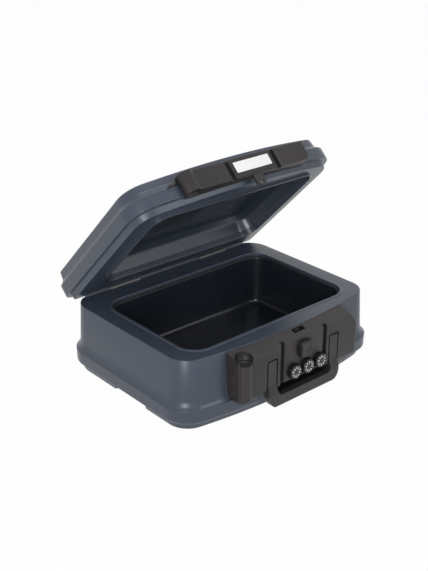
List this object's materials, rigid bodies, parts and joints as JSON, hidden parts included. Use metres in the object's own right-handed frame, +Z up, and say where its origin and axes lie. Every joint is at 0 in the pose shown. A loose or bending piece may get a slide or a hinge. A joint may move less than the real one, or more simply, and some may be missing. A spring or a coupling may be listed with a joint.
{
  "type": "safe deposit box",
  "caption": "Portable fire-resistant document safe with hinged lid standing open, carry handle, push-button catch and combination dials.",
  "frame": {"origin": "on the underside, in the middle of the straight part of the base", "axes": "+Z up, -Y towards the front with the handle, +X to the right seen from the front"},
  "size_m": [0.414, 0.3668, 0.3621],
  "materials": {
    "slate_plastic": "moulded satin, fine grain",
    "black_plastic": "moulded satin, fine grain",
    "liner_plastic": "moulded, low sheen",
    "dial_plastic": "moulded, semi-gloss",
    "fire_filler": "cast, dull",
    "seal_rubber": "smooth",
    "hinge_metal": "black zinc",
    "plain_steel": "zinc plated",
    "plate_white": "printed white, gloss"
  },
  "bodies": {
    "base": {"base_outer_shell": "slate_plastic", "base_insulation": "fire_filler", "base_inner_liner": "liner_plastic", "rim_seal": "seal_rubber", "front_housing": "black_plastic", "housing_screws": "plain_steel", "lock_panel": "black_plastic", "lock_back_plate": "plain_steel", "lock_screws": "plain_steel", "handle_pins": "plain_steel", "bolt_guide_pins": "plain_steel", "button_spring": "plain_steel", "latch_spring": "plain_steel", "hinge_base_left": "hinge_metal", "hinge_base_right": "hinge_metal", "hinge_pin_left": "plain_steel", "hinge_pin_right": "plain_steel", "hinge_base_screws": "plain_steel"},
    "lid": {"lid_outer_shell": "slate_plastic", "lid_insulation": "fire_filler", "lid_inner_liner": "liner_plastic", "lid_inside_plate": "liner_plastic", "hinge_lid_left": "hinge_metal", "hinge_lid_right": "hinge_metal", "hinge_lid_screws": "plain_steel", "lid_front_strip": "black_plastic", "strip_screws": "plain_steel", "lid_centre_panel": "black_plastic", "name_plate": "plate_white", "catch_frame": "black_plastic", "catch_plate": "plain_steel"},
    "handle": {"carry_handle": "black_plastic"},
    "button": {"push_button": "black_plastic"},
    "bolt": {"latch_bolt": "plain_steel"},
    "dial_left": {"dial_left": "dial_plastic", "cam_left": "plain_steel"},
    "dial_middle": {"dial_middle": "dial_plastic", "cam_middle": "plain_steel"},
    "dial_right": {"dial_right": "dial_plastic", "cam_right": "plain_steel"}
  },
  "joints": [
    {"name": "lid_hinge", "type": "hinge", "parent": "base", "child": "lid", "pos_m": [0, 0.1336, 0.1138], "axis": [-1, 0, 0], "range_deg": [-45.5, 40.5]},
    {"name": "handle_pivot", "type": "hinge", "parent": "base", "child": "handle", "pos_m": [0.011, -0.1755, 0.078], "axis": [-1, 0, 0], "range_deg": [0, 95]},
    {"name": "button_press", "type": "slide", "parent": "base", "child": "button", "axis": [0, 1, 0], "range_m": [0, 0.0026], "stiffness_N_per_m": 900, "springref_m": -0.002, "deforming": ["button_spring"]},
    {"name": "bolt_slide", "type": "slide", "parent": "base", "child": "bolt", "axis": [0, 1, 0], "range_m": [0, 0.0026], "stiffness_N_per_m": 600, "springref_m": -0.002, "deforming": ["latch_spring"]},
    {"name": "dial_left_turn", "type": "hinge", "parent": "base", "child": "dial_left", "pos_m": [-0.0109, -0.179, 0.0532], "axis": [0, -1, 0], "continuous": true},
    {"name": "dial_middle_turn", "type": "hinge", "parent": "base", "child": "dial_middle", "pos_m": [0.0165, -0.179, 0.0532], "axis": [0, -1, 0], "continuous": true},
    {"name": "dial_right_turn", "type": "hinge", "parent": "base", "child": "dial_right", "pos_m": [0.0439, -0.179, 0.0532], "axis": [0, -1, 0], "continuous": true}
  ],
  "couplings": [
    {"joint": "bolt_slide", "follows": "button_press", "ratio": 1}
  ]
}
